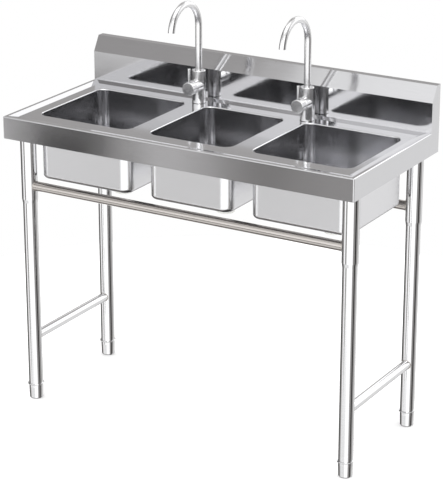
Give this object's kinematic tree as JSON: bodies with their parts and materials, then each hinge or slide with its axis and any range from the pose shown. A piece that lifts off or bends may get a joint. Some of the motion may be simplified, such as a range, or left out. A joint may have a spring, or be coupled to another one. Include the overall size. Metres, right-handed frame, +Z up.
{
  "type": "three compartment sink",
  "caption": "Free-standing stainless steel catering sink with three bowls, a splash upstand, tube legs on levelling feet and gooseneck mixer taps.",
  "frame": {"origin": "on the floor, under the middle of the worktop", "axes": "+X to the right along the worktop, +Y to the wall side, +Z up"},
  "size_m": [1, 0.46, 1.0665],
  "materials": {
    "sheet_steel": "satin",
    "bowl_steel": "satin",
    "tube_steel": "polished",
    "foot_steel": "satin",
    "screw_steel": "satin",
    "drain_steel": "polished",
    "seal_rubber": "matte",
    "fitting_plastic": "matte",
    "tap_metal": "brushed",
    "aerator_plastic": "matte",
    "cartridge_plastic": "matte",
    "fitting_brass": "satin"
  },
  "bodies": {
    "stand": {"back_panel": "sheet_steel", "bowl_left": "bowl_steel", "bowl_middle": "bowl_steel", "bowl_right": "bowl_steel", "drain_cup_left": "drain_steel", "drain_cup_middle": "drain_steel", "drain_cup_right": "drain_steel", "drain_gaskets": "seal_rubber", "drain_nuts": "fitting_plastic", "drain_tailpiece_left": "fitting_plastic", "drain_tailpiece_middle": "fitting_plastic", "drain_tailpiece_right": "fitting_plastic", "end_cap_left": "sheet_steel", "end_cap_right": "sheet_steel", "foot_inserts": "foot_steel", "front_rail": "tube_steel", "leg_front_left": "tube_steel", "leg_front_right": "tube_steel", "leg_gussets": "tube_steel", "leg_rear_left": "tube_steel", "leg_rear_right": "tube_steel", "leg_sleeve_front_left": "tube_steel", "leg_sleeve_front_right": "tube_steel", "leg_sleeve_rear_left": "tube_steel", "leg_sleeve_rear_right": "tube_steel", "rear_rail": "tube_steel", "side_stretcher_left": "tube_steel", "side_stretcher_right": "tube_steel", "sleeve_screws": "screw_steel", "tap_body_left": "tap_metal", "tap_body_right": "tap_metal", "tap_bonnet_left": "tap_metal", "tap_bonnet_right": "tap_metal", "tap_cartridge_left": "cartridge_plastic", "tap_cartridge_right": "cartridge_plastic", "tap_gaskets": "seal_rubber", "tap_nuts": "fitting_brass", "tap_shanks": "fitting_brass", "tap_washers": "fitting_brass", "worktop": "sheet_steel"},
    "spout_left": {"tap_spout_left": "tap_metal", "tap_aerator_left": "aerator_plastic"},
    "spindle_left": {"tap_spindle_left": "cartridge_plastic"},
    "handle_left": {"tap_handle_left": "tap_metal", "tap_lever_left": "tap_metal"},
    "spout_right": {"tap_spout_right": "tap_metal", "tap_aerator_right": "aerator_plastic"},
    "spindle_right": {"tap_spindle_right": "cartridge_plastic"},
    "handle_right": {"tap_handle_right": "tap_metal", "tap_lever_right": "tap_metal"},
    "strainer_left": {"strainer_basket_left": "drain_steel", "strainer_knob_left": "drain_steel"},
    "strainer_middle": {"strainer_basket_middle": "drain_steel", "strainer_knob_middle": "drain_steel"},
    "strainer_right": {"strainer_basket_right": "drain_steel", "strainer_knob_right": "drain_steel"},
    "levelling_foot_front_left": {"foot_front_left": "foot_steel"},
    "levelling_foot_front_right": {"foot_front_right": "foot_steel"},
    "levelling_foot_rear_left": {"foot_rear_left": "foot_steel"},
    "levelling_foot_rear_right": {"foot_rear_right": "foot_steel"}
  },
  "joints": [
    {"name": "spout_swivel_left", "type": "hinge", "parent": "stand", "child": "spout_left", "pos_m": [-0.147, 0.147, 0.873], "axis": [0, 0, 1], "continuous": true},
    {"name": "temperature_turn_left", "type": "hinge", "parent": "stand", "child": "spindle_left", "pos_m": [-0.147, 0.122, 0.833], "axis": [0, -1, 0], "range_deg": [-45, 45]},
    {"name": "lever_lift_left", "type": "hinge", "parent": "spindle_left", "child": "handle_left", "pos_m": [-0.147, 0.116, 0.833], "axis": [1, 0, 0], "range_deg": [0, 20]},
    {"name": "spout_swivel_right", "type": "hinge", "parent": "stand", "child": "spout_right", "pos_m": [0.172, 0.147, 0.873], "axis": [0, 0, 1], "continuous": true},
    {"name": "temperature_turn_right", "type": "hinge", "parent": "stand", "child": "spindle_right", "pos_m": [0.172, 0.122, 0.833], "axis": [0, -1, 0], "range_deg": [-45, 45]},
    {"name": "lever_lift_right", "type": "hinge", "parent": "spindle_right", "child": "handle_right", "pos_m": [0.172, 0.116, 0.833], "axis": [1, 0, 0], "range_deg": [0, 20]},
    {"name": "strainer_lift_left", "type": "slide", "parent": "stand", "child": "strainer_left", "axis": [0, 0, 1], "range_m": [0, 0.26]},
    {"name": "strainer_lift_middle", "type": "slide", "parent": "stand", "child": "strainer_middle", "axis": [0, 0, 1], "range_m": [0, 0.26]},
    {"name": "strainer_lift_right", "type": "slide", "parent": "stand", "child": "strainer_right", "axis": [0, 0, 1], "range_m": [0, 0.26]},
    {"name": "foot_height_front_left", "type": "slide", "parent": "stand", "child": "levelling_foot_front_left", "axis": [0, 0, -1], "range_m": [0, 0.02]},
    {"name": "foot_height_front_right", "type": "slide", "parent": "stand", "child": "levelling_foot_front_right", "axis": [0, 0, -1], "range_m": [0, 0.02]},
    {"name": "foot_height_rear_left", "type": "slide", "parent": "stand", "child": "levelling_foot_rear_left", "axis": [0, 0, -1], "range_m": [0, 0.02]},
    {"name": "foot_height_rear_right", "type": "slide", "parent": "stand", "child": "levelling_foot_rear_right", "axis": [0, 0, -1], "range_m": [0, 0.02]}
  ]
}
